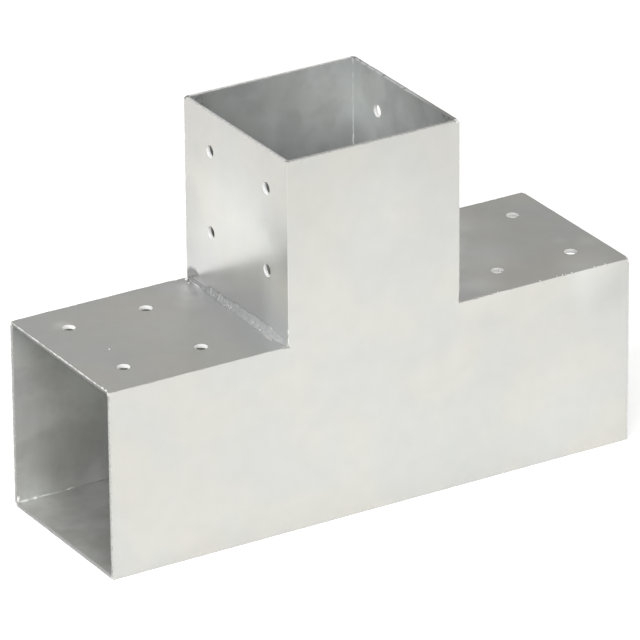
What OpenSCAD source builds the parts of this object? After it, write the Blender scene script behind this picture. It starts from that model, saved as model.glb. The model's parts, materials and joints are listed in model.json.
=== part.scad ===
// T-shaped post connector in galvanised steel sheet.
// A horizontal square tube, open at both ends, carries an upright square tube, open at the top.
// Seven flat plates meet edge to edge at their inside corners. Corner welds fill the open
// outside corners, and a rippled fillet weld lies where each arm meets the upright tube.
// X runs along the bar, Y from the front plate to the back plate, Z up. The origin is on the
// ground, under the middle of the upright tube.

/* [Sockets] */
// Clear depth of every socket, from the front plate to the back plate
clear_depth = 91; // [72:1:150]
// Clear height of the sockets in the bar
bar_clear_h = 93; // [60:1:150]
// Clear width of the upright socket, from left to right
riser_clear_w = 91; // [60:1:150]
// Thickness of the steel sheet
sheet_t = 2; // [1.5:0.25:4]

/* [Reach] */
// Length of each arm, from the upright tube's outer face to the arm's open end
arm_reach = 97; // [80:1:200]
// Height of the upright tube above the tops of the arms
riser_reach = 94; // [80:1:200]

/* [Screw holes] */
// Diameter of the screw holes
hole_d = 6.5; // [4:0.5:10]
// From an open end to the middle of the first row of holes
end_margin = 20; // [10:1:40]
// From the first row of holes to the second
row_pitch = 42; // [20:1:60]
// Between the two holes of a row
hole_spread = 52; // [20:1:70]
// How far the holes of the upright tube sit from its middle, towards the front
riser_hole_shift = 2.5; // [0:0.5:6]

/* [Welds] */
// Leg of the fillet welds along the tops of the arms
fillet_arm_leg = 2; // [1.5:0.1:5]
// Leg of the fillet welds up the sides of the upright tube
fillet_riser_leg = 2.8; // [1.5:0.1:5]
// Length of one ripple of a fillet weld
ripple_pitch = 2.6; // [2:0.1:5]
// Height of the ripples, from valley to crest
ripple_h = 0.35; // [0.1:0.05:0.6]
// How far a fillet weld stops short of the outer faces at its two ends
fillet_setback = 1.2; // [0.5:0.1:4]
// Rounding along the outer edge of the corner welds
seam_edge_r = 0.5; // [0.2:0.1:1]
// Rounding of the corner welds where they run out at an open end
seam_end_r = 1.4; // [0.4:0.1:1.4]

/* [Hidden] */

// Outer sizes, worked out from the clear sizes, the sheet and the reaches
half_depth = clear_depth / 2;
outer_half_depth = half_depth + sheet_t;
riser_half_w = riser_clear_w / 2;
riser_outer_x = riser_half_w + sheet_t;
bar_end_x = riser_outer_x + arm_reach;
bar_inner_top = sheet_t + bar_clear_h;
bar_top = bar_inner_top + sheet_t;
riser_top = bar_top + riser_reach;

// Cuts run this far past the faces that they open
cut_over = 1;

// Fillet weld: rings of points along its length, four to a ripple
rings_per_ripple = 4;
bead_length = 2 * (outer_half_depth - fillet_setback);
ripple_count = round(bead_length / ripple_pitch);
ring_count = ripple_count * rings_per_ripple;
ring_step = bead_length / ring_count;
// Points of one ring from the arm's toe round to the upright tube's toe
arc_points = 7;
// How far the face of the weld swells out, as a share of its flat face's depth
bead_crown = 0.14;
// How far the middle of a ripple runs ahead of its toes, in ripples
ripple_lead = 0.55;
// Slow swelling of the weld along its length, as a share of its size
bead_sway = 0.1;
// Rings over which the weld runs out at each end, and its size at the very end
run_out_rings = 5;
run_out_size = 0.55;

steel_light = [0.86, 0.86, 0.84];
steel_mid = [0.74, 0.74, 0.73];
weld_grey = [0.66, 0.66, 0.65];

// Four screw holes on a rectangle, through a sheet that lies on the XY plane
module screw_holes(along, across) {
    for (x = [-along / 2, along / 2], y = [-across / 2, across / 2])
        translate([x, y, -cut_over])
            cylinder(h = sheet_t + 2 * cut_over, d = hole_d, $fn = 48);
}

// The outline shared by the front and back plates: the bar with the upright tube on it.
// It stops one sheet short of every outer face that carries a corner weld.
module tee_outline() {
    translate([-bar_end_x, sheet_t])
        square([2 * bar_end_x, bar_clear_h]);
    translate([-riser_half_w, sheet_t])
        square([riser_clear_w, riser_top - sheet_t]);
}

module tee_plate() {
    rotate([90, 0, 0])
        linear_extrude(height = sheet_t)
            tee_outline();
}

module front_plate() {
    color(steel_light)
        translate([0, -half_depth, 0])
            tee_plate();
}

module back_plate() {
    color(steel_light)
        translate([0, outer_half_depth, 0])
            tee_plate();
}

module bottom_plate() {
    color(steel_mid)
        translate([-bar_end_x, -half_depth, 0])
            cube([2 * bar_end_x, clear_depth, sheet_t]);
}

// Top of the left arm. Its screw holes are set from the open end.
module arm_top() {
    color(steel_mid)
        translate([0, 0, bar_inner_top])
            difference() {
                translate([-bar_end_x, -half_depth, 0])
                    cube([arm_reach, clear_depth, sheet_t]);
                translate([-bar_end_x + end_margin + row_pitch / 2, 0, 0])
                    screw_holes(row_pitch, hole_spread);
            }
}

// Left side of the upright tube. It stands on the inside level of the arm's top plate.
module riser_side() {
    side_h = riser_top - bar_inner_top;
    color(steel_light)
        translate([-riser_half_w, 0, riser_top])
            rotate([0, -90, 0])
                difference() {
                    translate([-side_h, -half_depth, 0])
                        cube([side_h, clear_depth, sheet_t]);
                    translate([-end_margin - row_pitch / 2, -riser_hole_shift, 0])
                        screw_holes(row_pitch, hole_spread);
                }
}

// Section of a corner weld: a square the size of the sheet, with its outer corner rounded
module seam_section() {
    flat = sheet_t - seam_edge_r;
    square([flat, sheet_t]);
    square([sheet_t, flat]);
    translate([flat, flat])
        circle(r = seam_edge_r, $fn = 32);
}

// What the rounding takes off the outer corner of a weld's open end at the origin
module end_rounding() {
    difference() {
        translate([-cut_over, sheet_t - seam_end_r])
            square([cut_over + seam_end_r, seam_end_r + cut_over]);
        translate([seam_end_r, sheet_t - seam_end_r])
            circle(r = seam_end_r, $fn = 48);
    }
}

// Side view of a corner weld that runs from an open end into the inside corner between the
// arm and the upright tube, where it is cut at 45 degrees to meet the next weld
module mitred_profile(run) {
    difference() {
        polygon([[0, 0], [run + sheet_t, 0], [run, sheet_t], [0, sheet_t]]);
        end_rounding();
    }
}

// Side view of a corner weld with two open ends
module open_profile(run) {
    difference() {
        square([run, sheet_t]);
        end_rounding();
        translate([run, 0])
            mirror([1, 0])
                end_rounding();
    }
}

// A corner weld along +X from the origin, outwards to +Y and +Z. Its child is its side view.
module corner_weld(run) {
    color(weld_grey)
        intersection() {
            rotate([90, 0, 90])
                linear_extrude(height = run)
                    seam_section();
            translate([0, sheet_t, 0])
                rotate([90, 0, 0])
                    linear_extrude(height = sheet_t)
                        children();
        }
}

// Back weld of the bar's bottom edge
module bottom_seam() {
    translate([-bar_end_x, half_depth, sheet_t])
        mirror([0, 0, 1])
            corner_weld(2 * bar_end_x)
                open_profile(2 * bar_end_x);
}

// Back weld of the left arm's top edge
module arm_seam() {
    translate([-bar_end_x, half_depth, bar_inner_top])
        corner_weld(arm_reach + sheet_t)
            mitred_profile(arm_reach);
}

// Back weld of the upright tube's left edge
module riser_seam() {
    mirror([1, 0, 0])
        translate([riser_half_w, half_depth, riser_top])
            rotate([0, 90, 0])
                corner_weld(riser_reach + sheet_t)
                    mitred_profile(riser_reach);
}

// Size of the fillet weld at a ring, as a share of its full legs: it runs out at both ends
// and sways a little between them, as a bead laid by hand does
function ring_size(ring) =
    let (from_end = min(ring, ring_count - ring) / run_out_rings)
    let (run_out = run_out_size + (1 - run_out_size) * sin(90 * min(1, from_end)))
    run_out * (1 - bead_sway + bead_sway * sin(ring * 11) * cos(ring * 4.3));

// Ripple at a ring and an angle round the bead: a round crest with a sharp valley, whose
// middle runs ahead of its toes
function ripple(ring, angle) =
    abs(sin(180 * (ring / rings_per_ripple + ripple_lead * sin(2 * angle)))) - 0.5;

// Distance from the inside corner to the bead's face, at a ring and an angle from the arm's
// top: a flat face from toe to toe, swollen in the middle and carrying the ripples
function bead_reach(ring, angle) =
    let (flat_face = ring_size(ring) / (cos(angle) / fillet_arm_leg + sin(angle) / fillet_riser_leg))
    flat_face * (1 + bead_crown * 2 * sin(2 * angle)) + ripple_h * sin(2 * angle) * ripple(ring, angle);

function ring_points(ring) = concat(
    [[0, ring * ring_step, 0]],
    [for (i = [0:arc_points - 1])
        let (angle = 90 * i / (arc_points - 1))
        let (reach = bead_reach(ring, angle))
        [-reach * cos(angle), ring * ring_step, reach * sin(angle)]]
);

// The fillet weld in the left inside corner, as one skin over its rings
module fillet_weld() {
    side_count = arc_points + 1;
    points = [for (ring = [0:ring_count]) each ring_points(ring)];
    walls = [for (ring = [0:ring_count - 1], i = [0:side_count - 1])
        let (a = ring * side_count + i)
        let (b = ring * side_count + (i + 1) % side_count)
        each [[a, b, b + side_count], [a, b + side_count, a + side_count]]];
    first_end = [for (i = [side_count - 1:-1:0]) i];
    last_end = [for (i = [0:side_count - 1]) ring_count * side_count + i];
    color(weld_grey)
        translate([-riser_outer_x, -bead_length / 2, bar_top])
            polyhedron(points = points, faces = concat(walls, [first_end], [last_end]));
}

// The left and the back pieces are drawn above, and the others are their mirror images
module to_right() {
    mirror([1, 0, 0])
        children();
}

module to_front() {
    mirror([0, 1, 0])
        children();
}

front_plate();
back_plate();
bottom_plate();
arm_top();  // left_arm_top
to_right() arm_top();  // right_arm_top
riser_side();  // left_riser_side
to_right() riser_side();  // right_riser_side
to_front() bottom_seam();  // bottom_front_seam
bottom_seam();  // bottom_back_seam
to_front() arm_seam();  // left_arm_front_seam
arm_seam();  // left_arm_back_seam
to_front() to_right() arm_seam();  // right_arm_front_seam
to_right() arm_seam();  // right_arm_back_seam
to_front() riser_seam();  // left_riser_front_seam
riser_seam();  // left_riser_back_seam
to_front() to_right() riser_seam();  // right_riser_front_seam
to_right() riser_seam();  // right_riser_back_seam
fillet_weld();  // left_fillet_weld
to_right() fillet_weld();  // right_fillet_weld
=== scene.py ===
"""T-shaped post connector in galvanised steel sheet: its finish, its welds, the light and the camera."""

import json
import math
import random

import bmesh
import bpy
from mathutils import Matrix, Vector, noise
from mathutils.geometry import tessellate_polygon


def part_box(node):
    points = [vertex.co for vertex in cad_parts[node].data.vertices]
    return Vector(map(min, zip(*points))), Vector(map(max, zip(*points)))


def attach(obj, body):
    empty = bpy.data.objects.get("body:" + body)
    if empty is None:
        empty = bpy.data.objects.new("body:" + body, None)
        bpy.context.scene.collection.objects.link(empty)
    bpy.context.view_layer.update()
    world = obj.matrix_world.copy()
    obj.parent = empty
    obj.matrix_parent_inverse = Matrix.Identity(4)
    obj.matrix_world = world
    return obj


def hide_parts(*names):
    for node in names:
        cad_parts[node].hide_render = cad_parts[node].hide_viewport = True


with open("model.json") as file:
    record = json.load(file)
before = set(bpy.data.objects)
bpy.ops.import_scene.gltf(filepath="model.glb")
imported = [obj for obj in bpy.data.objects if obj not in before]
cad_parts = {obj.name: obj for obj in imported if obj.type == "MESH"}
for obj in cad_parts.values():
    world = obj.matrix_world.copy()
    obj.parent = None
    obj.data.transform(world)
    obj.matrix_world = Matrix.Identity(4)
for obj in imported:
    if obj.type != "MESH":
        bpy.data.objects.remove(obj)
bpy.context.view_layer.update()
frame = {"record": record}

# Lengths in this script are millimetres times MM, because the scene is in metres
MM = 0.001

# Main sizes, read from the frame
FRONT_LOW, FRONT_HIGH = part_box("front_plate")
ARM_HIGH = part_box("left_arm_top")[1]
RISER_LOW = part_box("left_riser_side")[0]
FILLET_LOW, FILLET_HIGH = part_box("left_fillet_weld")
BAR_END_X = FRONT_HIGH.x
RISER_TOP = FRONT_HIGH.z
OUTER_Y = -FRONT_LOW.y
INNER_Y = -FRONT_HIGH.y
SHEET = OUTER_Y - INNER_Y
BAR_TOP = ARM_HIGH.z
BAR_INNER_TOP = BAR_TOP - SHEET
RISER_X = -RISER_LOW.x
RISER_INNER_X = RISER_X - SHEET

# Screw holes, read from the record's mounts, with zinc on their walls. Layers are a share of the
# thickness and how far the wall lies back there.
MOUNTS = {mount["name"]: mount for mount in frame["record"]["mounts"]}
HOLE_POINTS = 64
HOLE_COAT = 0.10 * MM
HOLE_LAYERS = ((0, 0.06 * MM), (0.03, 0), (0.9, 0), (1, 0.10 * MM))

# Sheared ends: smooth from the outer face up to a share of the thickness that differs from end
# to end, then broken away. Layers are a share of the thickness, or of its broken part, and how far
# the end lies back there. The whole end waves, and has fine nicks and a few chips.
SMOOTH_LAYERS = ((0, 0.22 * MM), (0.05, 0.06 * MM), (0.12, 0))
BROKEN_LAYERS = ((0, 0), (0.15, 0.06 * MM), (0.8, 0.10 * MM), (1, 0.25 * MM))
END_STEP = 0.5 * MM
END_WAVE = 0.16 * MM
END_WAVE_SIZE = 7 * MM
END_NICK = 0.34 * MM
END_NICK_SIZE = 1.1 * MM
END_CHIP = 0.5 * MM
END_CHIP_SIZE = 2.2 * MM
END_CHIP_LIMIT = 0.35

# Corner welds: rings along the weld, and its outer edge, which wanders, has dents and grows rounder
# at the weld's foot
SEAM_STEP = 0.6 * MM
SEAM_END_R = 1.4 * MM
SHARP_SEAM_END_R = 0.5 * MM
SHARP_SEAMS = ("bottom_front_seam", "left_arm_front_seam", "left_riser_front_seam")
# Seams with painted highlights, near-white, on their rounded ends; then seams with dark ends
SEAMS_WITH_PAINTED_HIGHLIGHT_ENDS = ("right_riser_front_seam", "right_arm_front_seam", "bottom_back_seam")
DARK_ENDED_SEAMS = ("left_riser_back_seam", "right_riser_back_seam")
SEAM_END_RINGS = 10
SEAM_EDGE_R = 0.28 * MM
SEAM_EDGE_SPREAD = 0.9
SEAM_EDGE_SIZE = 5 * MM
SEAM_DENT = 1.5 * MM
SEAM_DENT_SIZE = 2.2 * MM
SEAM_DENT_LIMIT = 0.36
SEAM_FOOT_R = 0.5 * MM
SEAM_FOOT_LENGTH = 12 * MM
SEAM_FOOT_SIZE = 3 * MM
SEAM_ARC_POINTS = 6

# Root beads inside the corner welds: their section for legs of 1, the leg, and how its size and the
# two legs vary along the bead
ROOT_BEAD_POINTS = ((0, 0), (1, 0), (0.86, 0.42), (0.42, 0.86), (0, 1))
ROOT_LEG = 0.75 * MM
ROOT_MIDDLE_SHARE = 0.35
ROOT_LEAST_SHARE = 0.08
ROOT_SPREAD = 1.1
ROOT_SPREAD_SIZE = 5 * MM
ROOT_LEG_SPREAD = 0.7
ROOT_LEG_SPREAD_SIZE = 1.8 * MM

# Fillet welds: rings and arc points, ripples and lumps. Shares run from the front, 0, to the back, 1.
FILLET_STEP = 0.2 * MM
FILLET_ARC_POINTS = 17
FILLET_ARM_LEG = -RISER_X - FILLET_LOW.x
FILLET_RISER_LEG = FILLET_HIGH.z - BAR_TOP
FILLET_FRONT_RUN_OUT = 16 * MM
FILLET_BACK_RUN_OUT = 7 * MM
FILLET_END_SHARE = 0.20
FILLET_SIZES = ((0.00, 1.45), (0.30, 1.50), (0.50, 1.34), (0.76, 1.10), (0.84, 0.55), (1.00, 0.42))
FILLET_SWELLS = ((0.00, -0.34), (0.46, -0.34), (0.56, -0.10), (0.80, 0.04), (1.00, 0.16))
FILLET_SIZE_MIDDLE = 0.97
FILLET_SIZE_SPREAD = 0.14
FILLET_SIZE_WAVE = 6 * MM
FILLET_LEG_SPREAD = 0.22
FILLET_ARM_LEG_WAVE = 2.6 * MM
FILLET_RISER_LEG_WAVE = 3.4 * MM
RIPPLED_SHARE = (0.52, 0.80)
RIPPLE_PITCH = 2.6 * MM
RIPPLE_HEIGHT = 0.36 * MM
RIPPLE_TROUGH = 0.6
RIPPLE_LEAD = 0.55
RIPPLE_DRIFT = 0.9
RIPPLE_DRIFT_SIZE = 9 * MM
GROOVE_DEPTH = 0.24 * MM
GROOVE_ANGLE = 0.8
GROOVE_HALF_ANGLE = 0.25
LUMPY_SHARE = (0.27, 0.46)
LUMP_HEIGHT = 0.22 * MM
LUMP_SIZE = 1.4 * MM
LUMP_STRETCH = 2 * MM
LUMPS_EVERYWHERE = 0.4
LUMPS_ON_ARM_SIDE = 1.5
BLEND_LENGTH = 0.04
BLEND_LEAST = 0.15

# Spatter: small drops of weld metal beside the thin back stretch of the left fillet weld. In the
# near-white finish their row is also a painted highlight along the weld
SPATTER_SEED = 7
SPATTER_COUNT = 22
SPATTER_Y = (31 * MM, 46 * MM)
SPATTER_OFF = (0.2 * MM, 1.4 * MM)
SPATTER_RADIUS = (0.14 * MM, 0.27 * MM)
# Where that weld was started: three larger drops beside each other, also painted white as glints
START_DROPS = ((-48.6 * MM, 45.6 * MM, 0.75 * MM), (-49.6 * MM, 44.6 * MM, 0.55 * MM),
               (-50.4 * MM, 40.6 * MM, 0.40 * MM))
# Height of a drop on an arm's top as a share of its radius
DROP_FLATNESS = 0.8
# Single specks of zinc on the arms' tops, in the near-white finish that paints them as glints; most
# sit on the front edge: place and radius
ARM_SPECKS_AND_GLINTS = tuple((x * MM, y * MM, radius * MM) for x, y, radius in (
    (-120.3, -5.3, 0.40), (69.3, -47.1, 0.26), (93.4, -47.1, 0.36), (103.0, -47.1, 0.28),
    (106.2, -47.1, 0.36), (108.0, -47.1, 0.26), (111.3, -47.1, 0.34), (124.3, -47.1, 0.36),
    (130.6, -47.1, 0.34)))
# Drips of zinc at the left opening's lower back and upper front corners, and at the foot of the
# upright tube's left front edge, in the near-white finish that paints them as glints: place and half
# lengths along X, Y and Z
ZINC_DRIPS_AND_GLINTS = (((-143.6, 45.4, 3.6), (0.88, 0.75, 1.7)), ((-140.3, 45.2, 2.2), (2.6, 0.5, 0.5)),
              ((-134.4, 45.2, 2.3), (1.3, 0.4, 0.5)), ((-47.3, -47.1, 104.4), (0.30, 0.32, 1.7)),
              ((-47.3, -47.1, 99.8), (0.30, 0.32, 2.0)), ((-144.05, -43.9, 96.7), (0.42, 0.95, 0.55)),
              ((-144.05, -40.6, 96.8), (0.35, 1.30, 0.40)))
# Raised metal on the left fillet weld: a blob and a ridge near its front end, and a tick in its middle
FILLET_RIDGE = (((-49.8, -24.8, 97.3), (0.7, 1.0, 0.6)), ((-50.5, -32.8, 97.1), (0.7, 4.6, 0.7)),
                ((-49.5, 4.2, 98.3), (0.4, 0.35, 1.0)))

# Camera: long lens, a little above the part and to its left
CAMERA_AZIMUTH = -31.04
CAMERA_ELEVATION = 24.49
CAMERA_ROLL = -0.47
CAMERA_DISTANCE = 3323.4 * MM
CAMERA_TARGET = Vector((-1.58 * MM, 0, 81.24 * MM))
SENSOR_WIDTH = 36.0
LENS = 390.3
CAMERA_CLIP_END = 100

# Light: a grey room, three wide soft lamps, a pale floor and a low pale backdrop all round it
ROOM_COLOUR = (0.37, 0.37, 0.365)
FLOOR_COLOUR = (0.86, 0.86, 0.855)
FLOOR_GLOW = 0.48
BACKDROP_RADIUS = 30
BACKDROP_HEIGHT = 4
BACKDROP_SIDES = 96
LAMP_AIM = Vector((0, 0, 80 * MM))
# Each lamp: azimuth and elevation in degrees, distance and size in metres, power in watts
KEY_LAMP = (-30, 36, 2.0, 0.9, 16)
SIDE_LAMP = (-90, 40, 2.0, 0.9, 11)
TOP_LAMP = (0, 88, 2.0, 1.6, 6)

# Zinc: sizes of its clouds, flow marks and patches of roughness, and its shallow relief
CLOUD_SIZE = 38 * MM
FLOW_SIZE = 9 * MM
FLOW_SPREAD = 0.05
ROUGHNESS_SIZE = 14 * MM
ROUGHNESS_SPREAD = 0.02
RELIEF_WAVE_SIZE = 24 * MM
RELIEF_FLOW_SIZE = 7 * MM
RELIEF_FLOW_SHARE = 0.15
RELIEF_DEPTH = 0.10 * MM
# Relief and streaks of the sheared ends
FINE_SIZE = 0.5 * MM
FINE_DEPTH = 0.05 * MM
STREAK_SIZE = 1.6 * MM

# From here on, a name that ends in X, Y or Z holds two places along that axis, between which one
# look gives way to another, and a name with LEVELS in it holds how light the metal is at both

# Outer faces: painted shade, darker up the upright tube and lighter at its foot; and lighter on the
# front plate towards the middle
OUTSIDE_METAL = 0.70
OUTSIDE_ROUGHNESS = 0.24
OUTSIDE_PAINTED_SHADE_LEVELS = (0.84, 0.765)
FRONT_LEVELS = (0.93, 0.98)
FRONT_FACE_Y = (0.1 * MM - OUTER_Y, 0.3 * MM - OUTER_Y)
# Heat of the fillet welds: how far it reaches from the inside corner
HEAT_REACH = (4 * MM, 30 * MM)
HEAT_STRENGTH = 0.8
# The upright tube's sides: painted shade in a margin along the front edge, painted light at its
# foot, and painted shade in a band at the rim
ON_FACE = 0.05 * MM
OFF_EDGE = 0.02 * MM
MARGIN_Y = (4 * MM - INNER_Y, 30 * MM - INNER_Y)
MARGIN_PAINTED_SHADE_LEVEL = 0.74
MARGIN_FOOT_Z = (BAR_TOP + 24 * MM, BAR_TOP + 58 * MM)
MARGIN_FOOT_PAINTED_LIGHT_LEVEL = 1.28
RISER_RIM_Z = (RISER_TOP - 50 * MM, RISER_TOP - 20 * MM)
RISER_RIM_PAINTED_SHADE_LEVEL = 0.92
# The smudge: its place, the slope of the line that it is fainter below, and the radii of its rim
# and of its end
SMUDGE_PLACE = (-RISER_X, 41 * MM, BAR_TOP - 0.3 * MM)
SMUDGE_SLOPE = 0.60
SMUDGE_LINE_Z = (BAR_TOP - 4.0 * MM, BAR_TOP + 0.2 * MM)
SMUDGE_LEVELS = (0.97, 0.40)
SMUDGE_RIM_RADII = (4.5 * MM, 6.2 * MM)
SMUDGE_RIM_LEVELS = (0.94, 0.36)
SMUDGE_END_RADII = (6.3 * MM, 8.4 * MM)
# Painted light on the right arm beside the upright tube, a lighter zone with a slanting limit like a
# shadow's edge: the angle of its limit, and how far it fades on both sides of that
PAINTED_LIGHT_STRIP_ANGLE = 57.5
PAINTED_LIGHT_STRIP_FADE = (-5 * MM, 9 * MM)
PAINTED_LIGHT_STRIP_LEVEL = 1.18
# Dark ragged spots inside the upright tube's rim: place, radius and level
DARK_SPOT_PLACES = (((45.5, -40, 192.5), 7, 0.55), ((-43, 45.5, 189), 8, 0.74))
DARK_SPOT_CORE_SHARE = 0.5
# Soft patches, most of them painted light and painted shade and some the zinc's own tone: place in
# millimetres, radius and level. On the arms' tops a place is x and y, on the upright tube's left side
# y and z, and on the front plate x and z.
ARM_PAINTED_LIGHT_PATCHES = (((-126, 30), 7, 1.22), ((-51.8, 36), 9, 1.40), ((-56.5, 28), 9, 1.24),
               ((-61.5, 20), 11, 1.14), ((-60, 38), 13, 1.10), ((-72, 6), 42, 1.04),
               ((82, -6), 30, 1.20), ((100, 26), 22, 1.12), ((62, -40), 20, 1.10),
               ((66, -33), 18, 1.16), ((124, -44), 24, 1.14), ((138, -20), 9, 1.10),
               ((127, -12), 6, 1.08))
RISER_SIDE_PAINTED_LIGHT_PATCHES = (((47.5, 137), 22, 0.89), ((47.5, 113), 20, 0.90), ((0, 152), 50, 1.11),
                      ((5, 109), 15, 0.97))
FRONT_SHADE_AND_TONE_PATCHES = (((137, 88), 24, 0.91), ((62, 90), 16, 0.94), ((115, 18), 55, 1.05),
                 ((3, 155), 34, 1.045), ((-118, 14), 28, 1.02))
INSIDE_PAINTED_LIGHT_PATCHES = (((45.5, 45.5, 192), 24, 0.84), ((-116, 45.5, 17), 30, 0.78),
                  ((-96, 45.5, 55), 34, 1.20), ((-140, 45.5, 30), 16, 1.12), ((-134, 38, 2), 22, 1.16),
                  ((45.5, -14, 162), 34, 1.22), ((45.5, 45.5, 152), 20, 0.90))
PATCH_CORE_SHARE = 0.1

# Inside of the upright tube, by height, across, by depth, on its right wall and deep at the back.
# Across and in depth its level is painted light, lighter to the right and to the back; on its right
# wall and deep down at the back it is painted shade.
TUBE_METAL = 0.60
TUBE_ROUGHNESS = 0.42
TUBE_FOOT_Z = (BAR_TOP - 30 * MM, BAR_TOP + 20 * MM)
TUBE_PAINTED_LIGHT_LEVELS_ACROSS = (0.83, 1.12)
TUBE_PAINTED_LIGHT_LEVELS_IN_DEPTH = (0.72, 1.12)
TUBE_RIGHT_WALL_X = (RISER_INNER_X - 0.4 * MM, RISER_INNER_X - 0.1 * MM)
TUBE_RIGHT_WALL_PAINTED_SHADE_LEVEL = 0.94
TUBE_BACK_Y = (15 * MM, 40 * MM)
TUBE_DEEP_Z = (RISER_TOP - 51 * MM, RISER_TOP - 20 * MM)
TUBE_DEEP_PAINTED_SHADE_LEVEL = 0.72
# Inside of the bar: painted light, its sides and its floor lighter towards both mouths, and painted
# shade that makes its floor darker
BAR_METAL = 0.65
BAR_ROUGHNESS = 0.32
BAR_MOUTH_X = (BAR_END_X - 50 * MM, BAR_END_X)
BAR_PAINTED_LIGHT_LEVELS = (1.13, 1.25)
BAR_FLOOR_MOUTH_X = (BAR_END_X - 22 * MM, BAR_END_X - 1 * MM)
BAR_FLOOR_PAINTED_SHADE_LEVELS = (0.73, 0.80)
BAR_FLOOR_Z = (SHEET + 0.1 * MM, SHEET + 0.4 * MM)
# Ends that are light at the upright tube's rim, and the rim's right side, which is torn at the front
RIM_Z = (BAR_TOP, BAR_TOP + 10 * MM)
TORN_FRONT_Y = (-34 * MM, 0)
# Fillet welds, along them and up to their upper edge
WELD_METAL = 0.60
WELD_ROUGHNESS = 0.48
WELD_ALONG_Y = (-INNER_Y, 34 * MM)
WELD_LEVELS_ALONG = (1.14, 0.80)
WELD_UP_Z = (BAR_TOP + 2.0 * MM, BAR_TOP + 4.2 * MM)
WELD_LEVELS_UP = (1.0, 0.96)
# Root beads: painted light near the bar's mouths and painted shade deeper in, and others in the
# upright tube
ROOT_PAINTED_LIGHT_MOUTH_X = (BAR_END_X - 34 * MM, BAR_END_X - 22 * MM)
ROOT_TUBE_Z = (BAR_INNER_TOP - 1 * MM, BAR_INNER_TOP + 1 * MM)

# How metallic and how rough the smaller finishes are
CUT_LOOK = (0.35, 0.45)
HIGHLIGHT_PAINT_LOOK = (0.0, 0.45)
TORN_LOOK = (0.30, 0.6)
KNOTTED_LOOK = (0.20, 0.45)
ROOT_LOOK = (0.30, 0.45)
FLOOR_LOOK = (0.0, 0.9)

# Linear colours
ZINC_WARM = (0.820, 0.808, 0.755)
ZINC_COOL = (0.788, 0.798, 0.772)
ZINC_TUBE = (0.775, 0.800, 0.800)
ZINC_TUBE_DULL = (0.700, 0.715, 0.700)
ZINC_BAR = (0.780, 0.785, 0.770)
ZINC_BAR_DULL = (0.695, 0.700, 0.675)
WELD_LIGHT = (0.58, 0.58, 0.58)
WELD_DARK = (0.50, 0.51, 0.515)
HEAT_TINT = (0.745, 0.755, 0.765)
CUT_BRIGHT = (0.64, 0.64, 0.62)
CUT_DULL = (0.46, 0.46, 0.445)
HIGHLIGHT_PAINT_DULL = (0.94, 0.94, 0.93)
HIGHLIGHT_PAINT_WHITE = (0.97, 0.97, 0.96)
BREAK_GREY = (0.27, 0.27, 0.26)
DULL_GREY = (0.42, 0.42, 0.41)
KEPT_GREY = (0.56, 0.58, 0.58)
KNOT_DULL = (0.60, 0.60, 0.58)
RIM_GREY = (0.66, 0.66, 0.65)
RIM_GREY_LOW = (0.46, 0.46, 0.45)
RIM_LIGHT = (0.84, 0.84, 0.82)
RIM_LIGHT_LOW = (0.62, 0.62, 0.60)
ROOT_PAINTED_LIGHT = (0.92, 0.93, 0.92)
ROOT_TUBE_PAINTED_LIGHT = (0.84, 0.86, 0.86)
ROOT_PAINTED_SHADE = (0.44, 0.44, 0.43)


def noise_at(point, size, seed=0.0):
    """Smooth noise from -1 to 1 whose features are about one size across."""
    return noise.noise(point / size + Vector((seed, seed * 0.7, -seed)))


# Sockets of the mix node that carry colours: the node has others of the same names for numbers
MIX_FIRST_COLOUR, MIX_SECOND_COLOUR, MIX_RESULT_COLOUR = 6, 7, 2


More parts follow.
